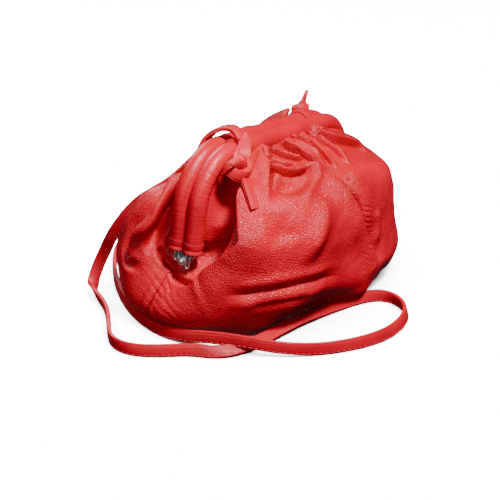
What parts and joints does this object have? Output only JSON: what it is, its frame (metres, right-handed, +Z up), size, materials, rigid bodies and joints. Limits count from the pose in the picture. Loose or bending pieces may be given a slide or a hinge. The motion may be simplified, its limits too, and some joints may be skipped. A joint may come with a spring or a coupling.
{
  "type": "bucket bag",
  "caption": "Soft gathered pebbled-leather pouch bag with a padded hinged frame mouth and a long flat knotted shoulder strap lying beside it.",
  "frame": {"origin": "middle of the flat base that the bag rests on", "axes": "+Z up, +X from the near hinge to the far hinge along the frame, -Y towards the front panel"},
  "size_m": [0.2302, 0.2292, 0.1278],
  "materials": {
    "pouch_leather": "soft pebbled leather, satin sheen",
    "roll_leather": "smooth stretched leather, satin sheen",
    "strap_leather": "two-layer stitched leather, satin",
    "lining_cloth": "soft matt woven lining",
    "bow_steel": "bright nickel-plated spring steel",
    "hinge_chrome": "polished nickel",
    "padding_foam": "soft foam, hidden",
    "magnet_steel": "plated magnet, hidden"
  },
  "bodies": {
    "pouch": {"front_panel": "pouch_leather", "rear_panel": "pouch_leather", "rear_roll_cover": "roll_leather", "rear_mouth_facing": "roll_leather", "strap_run": "strap_leather", "strap_near_end": "strap_leather", "far_loop": "strap_leather", "far_knot": "strap_leather", "far_tail": "strap_leather", "front_lining": "lining_cloth", "rear_lining": "lining_cloth", "inner_pocket": "lining_cloth", "rear_bow": "bow_steel", "hinge_rivet_near": "hinge_chrome", "hinge_rivet_far": "hinge_chrome", "hinge_washer_near": "hinge_chrome", "hinge_washer_far": "hinge_chrome", "rear_padding": "padding_foam", "rear_magnets": "magnet_steel"},
    "front_frame": {"front_bow": "bow_steel", "front_padding": "padding_foam", "front_roll_cover": "roll_leather", "front_magnets": "magnet_steel", "front_mouth_facing": "roll_leather", "near_loop": "strap_leather", "near_knot": "strap_leather", "near_tail": "strap_leather"}
  },
  "joints": [
    {"name": "frame_hinge", "type": "hinge", "parent": "pouch", "child": "front_frame", "pos_m": [0, 0, 0.037], "axis": [0.989, 0, -0.1478], "range_deg": [0, 60], "deforming": ["front_panel", "front_lining", "strap_near_end"]}
  ]
}
